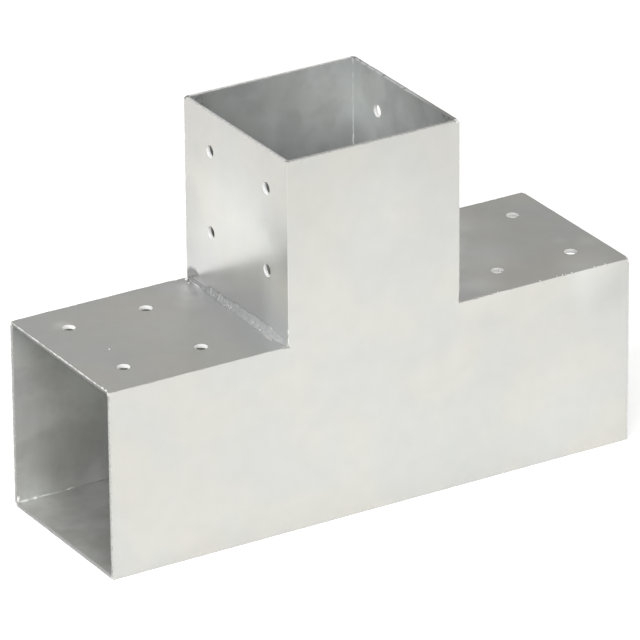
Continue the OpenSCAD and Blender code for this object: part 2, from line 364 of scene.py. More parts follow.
class Finish:
    """A material's node tree, with short calls for the nodes that the finishes use."""

    def __init__(self, name):
        self.material = bpy.data.materials.new(name)
        self.material.use_nodes = True
        self.tree = self.material.node_tree
        self.shader = self.tree.nodes["Principled BSDF"]
        self.place = self.node("ShaderNodeTexCoord").outputs["Object"]
        self.x, self.y, self.z = self.node("ShaderNodeSeparateXYZ", Vector=self.place).outputs

    def node(self, kind, settings=(), **inputs):
        """A node with its settings, and its inputs as links or values."""
        made = self.tree.nodes.new(kind)
        for key, value in settings:
            setattr(made, key, value)
        for key, value in inputs.items():
            self.put(value, made.inputs[key.replace("_", " ")])
        return made

    def put(self, value, socket):
        """A link where the value is another node's output, and a plain value otherwise."""
        if isinstance(value, bpy.types.NodeSocket):
            self.tree.links.new(value, socket)
        elif isinstance(value, tuple) and len(value) == 3 and socket.type == "RGBA":
            socket.default_value = (*value, 1)
        else:
            socket.default_value = value

    def math(self, operation, *values):
        """The result of a mathematical operation."""
        made = self.node("ShaderNodeMath", [("operation", operation)])
        for value, socket in zip(values, made.inputs):
            self.put(value, socket)
        return made.outputs[0]

    def noise(self, size, detail=2.0, seed=0.0, stretch=(1, 1, 1)):
        """Noise from 0 to 1, with features about one size across."""
        moved = self.node("ShaderNodeMapping", Vector=self.place, Scale=stretch,
                          Location=(seed, seed, seed))
        made = self.node("ShaderNodeTexNoise", Vector=moved.outputs[0], Scale=1 / size, Detail=detail)
        return made.outputs["Fac"]

    def ramp(self, value, start, end, low=0.0, high=1.0):
        """A soft step: low up to start, high from end on."""
        made = self.node("ShaderNodeMapRange", [("interpolation_type", "SMOOTHSTEP")], Value=value,
                         From_Min=start, From_Max=end, To_Min=low, To_Max=high)
        return made.outputs[0]

    def mix(self, share, first, second):
        """The first colour where the share is 0, and the second where it is 1."""
        made = self.node("ShaderNodeMix", [("data_type", "RGBA")], Factor=share)
        self.put(first, made.inputs[MIX_FIRST_COLOUR])
        self.put(second, made.inputs[MIX_SECOND_COLOUR])
        return made.outputs[MIX_RESULT_COLOUR]

    def scaled(self, colour, factor):
        """A colour times a number."""
        made = self.node("ShaderNodeVectorMath", [("operation", "SCALE")])
        self.put(colour, made.inputs[0])
        self.put(factor, made.inputs["Scale"])
        return made.outputs[0]

    def product(self, *values):
        """The product of several numbers."""
        result = values[0]
        for value in values[1:]:
            result = self.math("MULTIPLY", result, value)
        return result

    def blend(self, share, low, high):
        """The low number where the share is 0, and the high one where it is 1."""
        return self.ramp(share, 0, 1, low, high)

    def wander(self, value, reach, size, detail, seed):
        """A number that strays by up to a reach both ways, in features about one size across."""
        stray = self.math("MULTIPLY_ADD", self.noise(size, detail, seed), 2 * reach, -reach)
        return self.math("ADD", value, stray)

    def distance(self, place):
        """Distance from a place."""
        made = self.node("ShaderNodeVectorMath", [("operation", "DISTANCE")])
        self.put(self.place, made.inputs[0])
        self.put(place, made.inputs[1])
        return made.outputs["Value"]

    def bump(self, height, distance):
        """Relief of a height from 0 to 1 over a distance in metres."""
        made = self.node("ShaderNodeBump", Height=height, Distance=distance)
        made.inputs["Strength"].default_value = 1.0
        self.put(made.outputs[0], self.shader.inputs["Normal"])

    def done(self, colour, metallic, roughness):
        """The finished material."""
        for value, name in ((colour, "Base Color"), (metallic, "Metallic"), (roughness, "Roughness")):
            self.put(value, self.shader.inputs[name])
        return self.material


def zinc(finish, first, second):
    """Cloudy zinc colour: two tints in wide soft patches, with finer lighter and darker flow marks."""
    clouds = finish.ramp(finish.noise(CLOUD_SIZE, 3), 0.35, 0.65)
    flow = finish.noise(FLOW_SIZE, 4, seed=3.1)
    level = finish.math("MULTIPLY_ADD", flow, 2 * FLOW_SPREAD, 1 - FLOW_SPREAD)
    return finish.scaled(finish.mix(clouds, first, second), level)


def satin(finish, middle):
    """Roughness round a middle value, in soft patches."""
    patches = finish.noise(ROUGHNESS_SIZE, 3, seed=7.7)
    patches = finish.ramp(patches, 0.2, 0.8, -ROUGHNESS_SPREAD, ROUGHNESS_SPREAD)
    return finish.math("ADD", patches, middle)


def grain(finish):
    """Very shallow relief: wide waves in the sheet, and the flow of the zinc over it."""
    waves = finish.noise(RELIEF_WAVE_SIZE, 1, seed=1.3)
    flow = finish.product(finish.noise(RELIEF_FLOW_SIZE, 1, seed=5.9), RELIEF_FLOW_SHARE)
    finish.bump(finish.math("ADD", waves, flow), RELIEF_DEPTH)


def on_riser_side(finish):
    """1 on the upright tube's left and right outer faces, and 0 elsewhere."""
    from_middle = finish.math("ABSOLUTE", finish.x)
    on_side = finish.math("COMPARE", from_middle, RISER_X, ON_FACE)
    from_centre = finish.math("ABSOLUTE", finish.y)
    between_edges = finish.math("LESS_THAN", from_centre, OUTER_Y - OFF_EDGE)
    return finish.product(on_side, between_edges)


def riser_painted_light_and_shade(finish):
    """Painted shade and light on the upright tube's sides: darker at the rim, and along their front
    edges darker in the middle and lighter at the foot, with a soft wandering limit."""
    y, z = finish.y, finish.z
    into_margin = finish.ramp(finish.wander(y, 12 * MM, 22 * MM, 3, 17.0), *MARGIN_Y, 1, 0)
    rising = finish.ramp(z, *MARGIN_FOOT_Z, MARGIN_FOOT_PAINTED_LIGHT_LEVEL, MARGIN_PAINTED_SHADE_LEVEL)
    level = finish.ramp(z, *RISER_RIM_Z, finish.blend(into_margin, 1.0, rising), RISER_RIM_PAINTED_SHADE_LEVEL)
    return finish.blend(on_riser_side(finish), 1.0, level)


def smudge(finish):
    """A dark smudge low on the upright tube's left side, where the fillet weld was started. It is
    darkest at its upper rim, and fainter below a line that rises from the corner at the back."""
    rise = finish.math("MULTIPLY_ADD", finish.y, SMUDGE_SLOPE, -SMUDGE_SLOPE * OUTER_Y)
    high = finish.ramp(finish.math("ADD", rise, finish.z), *SMUDGE_LINE_Z)
    inside = finish.blend(high, *SMUDGE_LEVELS)
    rim = finish.blend(high, *SMUDGE_RIM_LEVELS)
    away = finish.wander(finish.distance(SMUDGE_PLACE), 1.5 * MM, 4 * MM, 3, 18.0)
    inner = finish.ramp(away, *SMUDGE_RIM_RADII, inside, rim)
    level = finish.ramp(away, *SMUDGE_END_RADII, inner, 1.0)
    return finish.blend(on_riser_side(finish), 1.0, level)


def patches_of_painted_light_and_tone(finish, patches):
    """Soft patches of painted light and painted shade, some of them the zinc's own tone."""
    level = 1.0
    for place, radius, patch_level in patches:
        away = finish.distance(tuple(part * MM for part in place))
        share = finish.ramp(away, PATCH_CORE_SHARE * radius * MM, radius * MM, patch_level, 1.0)
        level = finish.product(share, level)
    return level


def outside_light_and_tone_patches():
    """The patches of painted light and shade on the outer faces, with their places in X, Y and Z."""
    on_arms = [((x, y, BAR_TOP / MM), radius, level) for (x, y), radius, level in ARM_PAINTED_LIGHT_PATCHES]
    on_riser = [((-RISER_X / MM, y, z), radius, level) for (y, z), radius, level in RISER_SIDE_PAINTED_LIGHT_PATCHES]
    on_front = [((x, -OUTER_Y / MM, z), radius, level) for (x, z), radius, level in FRONT_SHADE_AND_TONE_PATCHES]
    return on_arms + on_riser + on_front


def dark_ragged_spots(finish):
    """Dark ragged spots inside the upright tube's rim, beside its corner welds."""
    ragged = finish.ramp(finish.noise(1.9 * MM, 3, seed=41.0), 0.47, 0.57)
    level = 1.0
    for place, radius, dark_level in DARK_SPOT_PLACES:
        away = finish.distance(tuple(part * MM for part in place))
        near = finish.ramp(away, DARK_SPOT_CORE_SHARE * radius * MM, radius * MM, 1, 0)
        level = finish.product(finish.blend(finish.product(near, ragged), 1.0, dark_level), level)
    return level


def between_plates(finish):
    """1 between the front plate and the back plate, and 0 on them."""
    return finish.math("LESS_THAN", finish.math("ABSOLUTE", finish.y), INNER_Y)


def painted_light_beside_riser(finish):
    """Painted light: the right arm's top is lighter beside the upright tube, up to a soft wandering
    limit that runs slantwise back from the foot of the tube's front edge like a shadow's edge. The
    underside below is the same."""
    x, y = finish.x, finish.y
    slant = math.radians(PAINTED_LIGHT_STRIP_ANGLE)
    along_x = finish.product(finish.math("SUBTRACT", x, RISER_X), math.sin(slant))
    along_y = finish.product(finish.math("ADD", y, OUTER_Y), math.cos(slant))
    past_limit = finish.math("SUBTRACT", along_x, along_y)
    past_limit = finish.wander(past_limit, 8 * MM, 13 * MM, 2, 44.0)
    level = finish.ramp(past_limit, *PAINTED_LIGHT_STRIP_FADE, PAINTED_LIGHT_STRIP_LEVEL, 1.0)
    on_arm = finish.product(finish.math("GREATER_THAN", x, RISER_X + 0.2 * MM), between_plates(finish))
    return finish.blend(on_arm, 1.0, level)


def outside_zinc():
    """Outer faces: clouded zinc, bluish where the heat of the fillet welds reached it. Their level
    carries painted light and shade.
    """
    finish = Finish("zinc_outside")
    x, y, z = finish.x, finish.y, finish.z
    from_riser = finish.math("SUBTRACT", finish.math("ABSOLUTE", x), RISER_X)
    from_arm = finish.math("SUBTRACT", z, BAR_TOP)
    squares = finish.math("ADD", *(finish.product(side, side) for side in (from_riser, from_arm)))
    heat = finish.ramp(finish.math("SQRT", squares), *HEAT_REACH, HEAT_STRENGTH, 0.0)
    heat = finish.product(heat, between_plates(finish))
    colour = finish.mix(heat, zinc(finish, ZINC_WARM, ZINC_COOL), HEAT_TINT)
    front = finish.ramp(x, -BAR_END_X, 0, *FRONT_LEVELS)
    # Painted shade up the upright tube and on its sides, painted light beside it on the right arm, and
    # soft patches of painted light and shade
    level = finish.product(finish.ramp(z, BAR_TOP, RISER_TOP, *OUTSIDE_PAINTED_SHADE_LEVELS), riser_painted_light_and_shade(finish),
                           smudge(finish), patches_of_painted_light_and_tone(finish, outside_light_and_tone_patches()),
                           finish.ramp(y, *FRONT_FACE_Y, front, 1.0), painted_light_beside_riser(finish))
    grain(finish)
    return finish.done(finish.scaled(colour, level), OUTSIDE_METAL, satin(finish, OUTSIDE_ROUGHNESS))


def inside_zinc():
    """Inner faces: duller, with darker blots, bluish in the upright tube and neutral in the bar. Their
    level is painted light and shade, lighter towards the openings and darker deep in.
    """
    finish = Finish("zinc_inside")
    x, y, z = finish.x, finish.y, finish.z
    above_bar = finish.ramp(z, *TUBE_FOOT_Z)
    light = finish.mix(above_bar, ZINC_BAR, ZINC_TUBE)
    dull = finish.mix(above_bar, ZINC_BAR_DULL, ZINC_TUBE_DULL)
    blots = finish.ramp(finish.noise(20 * MM, 3, seed=21.4), 0.44, 0.64, 1.0, 0.88)
    streaks = finish.noise(9 * MM, 2, seed=23.1, stretch=(1, 1, 0.25))
    streaks = finish.ramp(streaks, 0.3, 0.7, 0.97, 1.02)
    painted_shade_deeper = finish.ramp(z, *TUBE_DEEP_Z, TUBE_DEEP_PAINTED_SHADE_LEVEL, 1.0)
    tube_painted_light = finish.product(finish.ramp(x, -RISER_INNER_X, RISER_INNER_X, *TUBE_PAINTED_LIGHT_LEVELS_ACROSS),
                             finish.ramp(y, -INNER_Y, INNER_Y, *TUBE_PAINTED_LIGHT_LEVELS_IN_DEPTH),
                             finish.ramp(x, *TUBE_RIGHT_WALL_X, 1.0, TUBE_RIGHT_WALL_PAINTED_SHADE_LEVEL),
                             finish.blend(finish.ramp(y, *TUBE_BACK_Y), 1.0, painted_shade_deeper))
    from_middle = finish.math("ABSOLUTE", x)
    bar_floor_painted_shade = finish.ramp(from_middle, *BAR_FLOOR_MOUTH_X, *BAR_FLOOR_PAINTED_SHADE_LEVELS)
    bar_painted_light = finish.product(finish.ramp(from_middle, *BAR_MOUTH_X, *BAR_PAINTED_LIGHT_LEVELS),
                            finish.ramp(z, *BAR_FLOOR_Z, bar_floor_painted_shade, 1.0))
    # Painted light and shade of the tube and the bar, and soft patches of painted light, with the blots,
    # streaks and dark ragged spots
    level = finish.product(blots, streaks, finish.blend(above_bar, bar_painted_light, tube_painted_light),
                           dark_ragged_spots(finish), patches_of_painted_light_and_tone(finish, INSIDE_PAINTED_LIGHT_PATCHES))
    metal = finish.blend(above_bar, BAR_METAL, TUBE_METAL)
    roughness = finish.blend(above_bar, BAR_ROUGHNESS, TUBE_ROUGHNESS)
    grain(finish)
    return finish.done(finish.scaled(zinc(finish, light, dull), level), metal, satin(finish, roughness))


def fine_relief(finish, seed):
    """Fine relief of a sheared end."""
    finish.bump(finish.noise(FINE_SIZE, 2, seed=seed), FINE_DEPTH)


def cut_zinc():
    """Smooth part of a sheared end: bright zinc with small darker bare spots."""
    finish = Finish("zinc_cut")
    speckle = finish.ramp(finish.noise(1.4 * MM, 2, seed=2.2), 0.28, 0.60)
    fine_relief(finish, 4.4)
    return finish.done(finish.mix(speckle, CUT_DULL, CUT_BRIGHT), *CUT_LOOK)


def white_painted_highlight():
    """Near-white matt finish, a painted highlight: on the screw holes' walls it stands in for light off
    the zinc, and it paints drops, specks and some weld ends as glints.
    """
    finish = Finish("white_painted_highlight")
    speckle = finish.ramp(finish.noise(1.1 * MM, 2, seed=12.5), 0.30, 0.65)
    finish.bump(finish.noise(0.6 * MM, 2, seed=4.4), 0.04 * MM)
    return finish.done(finish.mix(speckle, HIGHLIGHT_PAINT_DULL, HIGHLIGHT_PAINT_WHITE), *HIGHLIGHT_PAINT_LOOK)


def torn_streaks(finish, start, end):
    """Streaks of a torn end, from 0 to 1, with its fine relief. A start of 0.5 gives streaks over
    half of it."""
    fine_relief(finish, 8.3)
    return finish.ramp(finish.noise(STREAK_SIZE, 2, seed=6.1), start, end)


def torn_steel(name, grey, light, start):
    """The torn part of a sheared end, duller than the rest, with light streaks."""
    finish = Finish(name)
    return finish.done(finish.mix(torn_streaks(finish, start, start + 0.1), grey, light), *TORN_LOOK)


def rim_zinc():
    """Sheared ends that kept their zinc: light at the upright tube's rim and greyer on the bar."""
    finish = Finish("rim_edge")
    high = finish.ramp(finish.z, *RIM_Z)
    grey = finish.mix(high, RIM_GREY_LOW, RIM_GREY)
    light = finish.mix(high, RIM_LIGHT_LOW, RIM_LIGHT)
    return finish.done(finish.mix(torn_streaks(finish, 0.50, 0.62), grey, light), *TORN_LOOK)


def fading_break():
    """The rim's right side: torn at the front, and zinc with a few dark spots towards the back."""
    finish = Finish("fading_edge")
    torn = finish.mix(torn_streaks(finish, 0.62, 0.72), BREAK_GREY, CUT_DULL)
    spots = finish.ramp(finish.noise(2.4 * MM, 2, seed=31.0), 0.34, 0.42)
    kept = finish.mix(spots, BREAK_GREY, KEPT_GREY)
    towards_back = finish.ramp(finish.y, *TORN_FRONT_Y)
    return finish.done(finish.mix(towards_back, torn, kept), *TORN_LOOK)


def knotted_edge():
    """The smooth part of the arms' sheared ends: near-white knots, a painted highlight along the edge,
    duller between them.
    """
    finish = Finish("knotted_edge")
    knots = finish.ramp(finish.noise(2.6 * MM, 2, seed=33.0), 0.40, 0.58)
    fine_relief(finish, 4.4)
    return finish.done(finish.mix(knots, KNOT_DULL, HIGHLIGHT_PAINT_WHITE), *KNOTTED_LOOK)


def weld_metal():
    """Fillet welds: patchy, lighter to the front and duller along their upper edge."""
    finish = Finish("weld_metal")
    patches = finish.ramp(finish.noise(2.2 * MM, 3, seed=9.2), 0.35, 0.65)
    finish.bump(finish.noise(0.5 * MM, 3, seed=3.6), 0.03 * MM)
    level = finish.product(finish.ramp(finish.y, *WELD_ALONG_Y, *WELD_LEVELS_ALONG),
                           finish.ramp(finish.z, *WELD_UP_Z, *WELD_LEVELS_UP))
    colour = finish.scaled(finish.mix(patches, WELD_DARK, WELD_LIGHT), level)
    return finish.done(colour, WELD_METAL, satin(finish, WELD_ROUGHNESS))


def root_metal():
    """Beads that came through at the inside corners, in painted light and shade: bright near the bar's
    mouths, dark deeper in, and only a little lighter than the plates in the upright tube."""
    finish = Finish("root_metal")
    from_middle = finish.math("ABSOLUTE", finish.x)
    painted_light_at_mouth = finish.ramp(finish.wander(from_middle, 12 * MM, 8 * MM, 2, 15.0), *ROOT_PAINTED_LIGHT_MOUTH_X)
    bar_painted_light = finish.mix(painted_light_at_mouth, ROOT_PAINTED_SHADE, ROOT_PAINTED_LIGHT)
    patches = finish.ramp(finish.noise(5 * MM, 3, seed=14.2), 0.44, 0.60)
    tube_painted_light = finish.mix(patches, ROOT_TUBE_PAINTED_LIGHT, ROOT_PAINTED_LIGHT)
    finish.bump(finish.noise(0.6 * MM, 2, seed=3.6), 0.04 * MM)
    in_riser = finish.ramp(finish.z, *ROOT_TUBE_Z)
    return finish.done(finish.mix(in_riser, bar_painted_light, tube_painted_light), *ROOT_LOOK)


def put_in_scene(name, data):
    """A new object in the scene."""
    placed = bpy.data.objects.new(name, data)
    bpy.context.scene.collection.objects.link(placed)
    return placed


def mesh_object(name, mesh, materials):
    """An object in the scene from a finished bmesh."""
    data = bpy.data.meshes.new(name)
    mesh.to_mesh(data)
    mesh.free()
    for material in materials:
        data.materials.append(material)
    return put_in_scene(name, data)


def new_piece(name, mesh, materials, node=None):
    """A piece that rides on the part and stands for its CAD node, if it has one."""
    bmesh.ops.recalc_face_normals(mesh, faces=mesh.faces)
    piece = mesh_object(name, mesh, materials)
    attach(piece, "root")
    if node:
        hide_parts(node)
    return piece


def ring_walls(mesh, rings, material, smooth=True):
    """Faces between each ring of vertices and the next. A ring closes on itself."""
    for first, second in zip(rings, rings[1:]):
        count = len(first)
        for i in range(count):
            j = (i + 1) % count
            face = mesh.faces.new((first[i], first[j], second[j], second[i]))
            face.material_index = material(i) if callable(material) else material
            face.smooth = smooth(i) if callable(smooth) else smooth


def outline_points(corners):
    """Points round an outline, each with the way into the sheet. A corner is (u, v, open), where
    open says that the stretch to the next corner is an open end: it gets close points."""
    points = []
    for index, (u, v, is_open) in enumerate(corners):
        start = Vector((u, v))
        end = Vector(corners[(index + 1) % len(corners)][:2])
        if is_open:
            inwards = Vector((start.y - end.y, end.x - start.x)).normalized()
            count = round((end - start).length / END_STEP)
            points += [(start.lerp(end, k / count), inwards) for k in range(count + 1)]
        elif not corners[index - 1][2]:
            points.append((start, Vector((0, 0))))
    return points


def spokes(count):
    """Unit vectors all round, evenly spread."""
    return [Vector((math.cos(turn), math.sin(turn)))
            for turn in (2 * math.pi * i / count for i in range(count))]


def hole_points(centre, radius):
    """Points round a hole, each with the way into the sheet."""
    return [(centre + spoke * radius, spoke) for spoke in spokes(HOLE_POINTS)]


def end_layers(smooth_share):
    """Layers of a sheared end that is smooth up to a share of the thickness."""
    broken = [(smooth_share + (1 - smooth_share) * share, back) for share, back in BROKEN_LAYERS]
    return [*SMOOTH_LAYERS, *broken]


def wall_of(mesh, points, layers, place, wave):
    """Rings of vertices through the sheet along an outline or a hole."""
    rings = []
    for share, back in layers:
        ring = []
        for point, inwards in points:
            spot = place(point.x, point.y, share * SHEET)
            moved = back
            if wave and inwards.length:
                moved += END_WAVE * (1 + noise_at(spot, END_WAVE_SIZE)) / 2
                moved += END_NICK * share * max(0, noise_at(spot, END_NICK_SIZE, 2.0))
                moved += END_CHIP * max(0, noise_at(spot, END_CHIP_SIZE, 31.0) - END_CHIP_LIMIT)
            at = point + inwards * moved
            ring.append(mesh.verts.new(place(at.x, at.y, share * SHEET)))
        rings.append(ring)
    return rings


def cap(mesh, loops, material):
    """A flat face across an outline and its holes."""
    verts = [vert for loop in loops for vert in loop]
    for triple in tessellate_polygon([[vert.co for vert in loop] for loop in loops]):
        face = mesh.faces.new([verts[i] for i in triple])
        face.material_index = material


def plate(name, corners, place, end_look, holes=()):
    """A sheet of the part, with punched holes and sheared open ends. The look of the ends is the
    smooth share of their thickness and the finishes of the smooth and the torn part."""
    smooth_share, smooth_finish, torn_finish = end_look
    mesh = bmesh.new()
    outline = outline_points(corners)
    layers = end_layers(smooth_share)
    walls = wall_of(mesh, outline, layers, place, True)
    ends = [bool(inwards.length) for _, inwards in outline]
    is_end = [a and b for a, b in zip(ends, ends[1:] + ends[:1])]
    for layer in range(len(layers) - 1):
        zone = smooth_finish if layer < len(SMOOTH_LAYERS) else torn_finish
        ring_walls(mesh, walls[layer:layer + 2], lambda i, zone=zone: zone if is_end[i] else INSIDE,
                   lambda i: is_end[i])
    loops = [walls]
    for centre, radius in holes:
        rings = wall_of(mesh, hole_points(centre, radius), HOLE_LAYERS, place, False)
        # The hole walls take the near-white finish: a painted highlight for light off their zinc
        ring_walls(mesh, rings, BORE_PAINTED_HIGHLIGHT)
        loops.append(rings)
    cap(mesh, [rings[0] for rings in loops], OUTSIDE)
    cap(mesh, [rings[-1] for rings in loops], INSIDE)
    return new_piece(f"{name}_dressed", mesh, SHEET_FINISHES, name)


def screw_holes(mount_name, across, along):
    """Centres and radius of a mount's four holes, in a plate's own two directions, X 0, Y 1, Z 2."""
    mount = MOUNTS[mount_name]
    dims = mount["dims"]
    centre = mount["pos_m"]
    radius = dims["hole_r_mm"] * MM - HOLE_COAT
    half_first = dims["spacing_x_mm"] * MM / 2
    half_second = dims["spacing_y_mm"] * MM / 2
    return [(Vector((centre[across] + a * half_first, centre[along] + b * half_second)), radius)
            for a in (-1, 1) for b in (-1, 1)]


def make_plates():
    """The seven plates. Their outlines run anticlockwise in each plate's own two directions."""
    tee = ((-BAR_END_X, SHEET, False), (BAR_END_X, SHEET, True), (BAR_END_X, BAR_INNER_TOP, False),
           (RISER_INNER_X, BAR_INNER_TOP, False), (RISER_INNER_X, RISER_TOP, True),
           (-RISER_INNER_X, RISER_TOP, False), (-RISER_INNER_X, BAR_INNER_TOP, False),
           (-BAR_END_X, BAR_INNER_TOP, True))
    plate("front_plate", tee, lambda u, v, d: Vector((u, d - OUTER_Y, v)), BRIGHT_END)
    plate("back_plate", tee, lambda u, v, d: Vector((u, OUTER_Y - d, v)), RIM_END)
    floor = ((-BAR_END_X, -INNER_Y, False), (BAR_END_X, -INNER_Y, True),
             (BAR_END_X, INNER_Y, False), (-BAR_END_X, INNER_Y, True))
    plate("bottom_plate", floor, lambda u, v, d: Vector((u, v, d)), TORN_END)
    for side, name in ((-1, "left"), (1, "right")):
        arm = ((-BAR_END_X, -INNER_Y, False), (-RISER_X, -INNER_Y, False),
               (-RISER_X, INNER_Y, False), (-BAR_END_X, INNER_Y, True))
        plate(f"{name}_arm_top", arm, lambda u, v, d, side=side: Vector((-side * u, v, BAR_TOP - d)),
              SHEARED_END, [(Vector((-side * centre.x, centre.y)), radius)
                            for centre, radius in screw_holes(f"{name}_arm_screws", 0, 1)])
        riser = ((-INNER_Y, BAR_INNER_TOP, False), (INNER_Y, BAR_INNER_TOP, False),
                 (INNER_Y, RISER_TOP, True), (-INNER_Y, RISER_TOP, False))
        plate(f"{name}_riser_side", riser,
              lambda u, v, d, side=side: Vector((side * (RISER_X - d), u, v)),
              RIM_END if side < 0 else BROKEN_END, screw_holes(f"{name}_riser_screws", 1, 2))


def seam_stations(length, both_open, end_r):
    """Distances along a corner weld, close together where it runs out at an open end."""
    fine = [end_r * (i / SEAM_END_RINGS) ** 2 for i in range(SEAM_END_RINGS)]
    last = length - end_r if both_open else length
    count = round((last - end_r) / SEAM_STEP)
    stations = fine + [end_r + (last - end_r) * i / count for i in range(count + 1)]
    if both_open:
        stations += [length - s for s in reversed(fine)]
    return stations


def seam_section(edge_r, end_share):
    """Section of a corner weld from its root, in the two outward directions: flush with both
    plates up to its rounded outer edge."""
    flat = SHEET - edge_r
    points = [(0, 0), (SHEET, 0)]
    for i in range(SEAM_ARC_POINTS):
        turn = math.pi / 2 * i / (SEAM_ARC_POINTS - 1)
        points.append((flat + edge_r * math.cos(turn), flat + edge_r * math.sin(turn)))
    points.append((0, SHEET))
    pulled = []
    for u, v in points:
        pull = 1 - (u * v / SHEET ** 2) * (1 - end_share)
        pulled.append((u * pull, v * pull))
    return pulled


def end_share_at(distance, end_r):
    """How much of a corner weld's section is left at a distance from its open end."""
    if distance >= end_r:
        return 1.0
    return (SHEET - end_r + math.sqrt(end_r ** 2 - (end_r - distance) ** 2)) / SHEET


def seam_edge_radius(spot, from_foot, seed):
    """Radius of a corner weld's outer edge, which wanders, has dents and grows towards the foot."""
    radius = SEAM_EDGE_R * (1 + SEAM_EDGE_SPREAD * noise_at(spot, SEAM_EDGE_SIZE, seed))
    radius += SEAM_DENT * max(0, noise_at(spot, SEAM_DENT_SIZE, seed + 5) - SEAM_DENT_LIMIT)
    foot = max(0, 1 - from_foot / SEAM_FOOT_LENGTH)
    return radius + SEAM_FOOT_R * foot * (1 + noise_at(spot, SEAM_FOOT_SIZE, seed + 17))


def root_legs(spot, seed):
    """The two legs of a corner weld's root bead."""
    grown = ROOT_MIDDLE_SHARE + ROOT_SPREAD * noise_at(spot, ROOT_SPREAD_SIZE, seed + 9)
    size = ROOT_LEG * max(ROOT_LEAST_SHARE, grown)
    return [size * (1 + ROOT_LEG_SPREAD * noise_at(spot, ROOT_LEG_SPREAD_SIZE, seed + step))
            for step in (11, 13)]


def seam(name, root, along, out_first, out_second, length, both_open):
    """A corner weld with a wandering outer edge, and the thin bead at its root. With only one open
    end it is cut at 45 degrees at the other, where the next weld goes on."""
    mesh = bmesh.new()
    seed = sum(ord(letter) for letter in name) * 0.37
    end_r = SHARP_SEAM_END_R if name in SHARP_SEAMS else SEAM_END_R
    end_finish = SEAM_PLAIN
    # Some seam ends take the near-white finish as painted highlights, others the dark torn finish
    if name in SEAMS_WITH_PAINTED_HIGHLIGHT_ENDS:
        end_finish = SEAM_PAINTED_HIGHLIGHT
    elif name in DARK_ENDED_SEAMS:
        end_finish = SEAM_BROKEN
    rings, bead = [], []
    for station in seam_stations(length, both_open, end_r):
        spot = root + along * station
        nearest = min(station, length - station) if both_open else station
        edge_r = seam_edge_radius(spot, length if both_open else length - station, seed)
        ring = []
        for u, v in seam_section(edge_r, end_share_at(nearest, end_r)):
            share = 1 if both_open else (length - v) / length
            ring.append(mesh.verts.new(root + along * station * share + out_first * u + out_second * v))
        rings.append(ring)
        first_leg, second_leg = root_legs(spot, seed)
        bead.append([mesh.verts.new(spot - out_first * a * first_leg - out_second * b * second_leg)
                     for a, b in ROOT_BEAD_POINTS])
    on_edge = range(2, 1 + SEAM_ARC_POINTS)
    last = len(rings) - SEAM_END_RINGS if both_open else len(rings)
    for part, material in ((rings[:SEAM_END_RINGS], end_finish),
                           (rings[SEAM_END_RINGS - 1:last + 1], SEAM_PLAIN), (rings[last:], end_finish)):
        ring_walls(mesh, part, material, lambda i: i in on_edge)
    ring_walls(mesh, bead, SEAM_ROOT, lambda i: 0 < i < len(ROOT_BEAD_POINTS) - 1)
    far_finish = end_finish if both_open else SEAM_PLAIN
    for loop, material in ((rings[0], end_finish), (rings[-1], far_finish),
                           (bead[0], SEAM_ROOT), (bead[-1], SEAM_ROOT)):
        mesh.faces.new(loop).material_index = material
    return new_piece(f"{name}_dressed", mesh, SEAM_FINISHES, name)


def make_seams():
    """The ten corner welds."""
    for y_side, face in ((-1, "front"), (1, "back")):
        out_y = Vector((0, y_side, 0))
        seam(f"bottom_{face}_seam", Vector((-BAR_END_X, y_side * INNER_Y, SHEET)), Vector((1, 0, 0)),
             out_y, Vector((0, 0, -1)), 2 * BAR_END_X, True)
        for x_side, name in ((-1, "left"), (1, "right")):
            out_x = Vector((x_side, 0, 0))
            arm_end = Vector((x_side * BAR_END_X, y_side * INNER_Y, BAR_INNER_TOP))
            seam(f"{name}_arm_{face}_seam", arm_end, -out_x, out_y, Vector((0, 0, 1)),
                 BAR_END_X - RISER_INNER_X, False)
            riser_end = Vector((x_side * RISER_INNER_X, y_side * INNER_Y, RISER_TOP))
            seam(f"{name}_riser_{face}_seam", riser_end, Vector((0, 0, -1)), out_y, out_x,
                 RISER_TOP - BAR_INNER_TOP, False)


def blend_in(share, low, high):
    """1 between two shares of a weld's length, falling to a small part of it beyond them."""
    outside = max(low - share, share - high, 0)
    return max(BLEND_LEAST, 1 - outside / BLEND_LENGTH)


def value_at(table, share):
    """The value at a share of a weld's length, between those that a table gives for chosen shares."""
    for (start, first), (end, second) in zip(table, table[1:]):
        if share <= end:
            return first + (second - first) * (share - start) / (end - start)
    return table[-1][1]


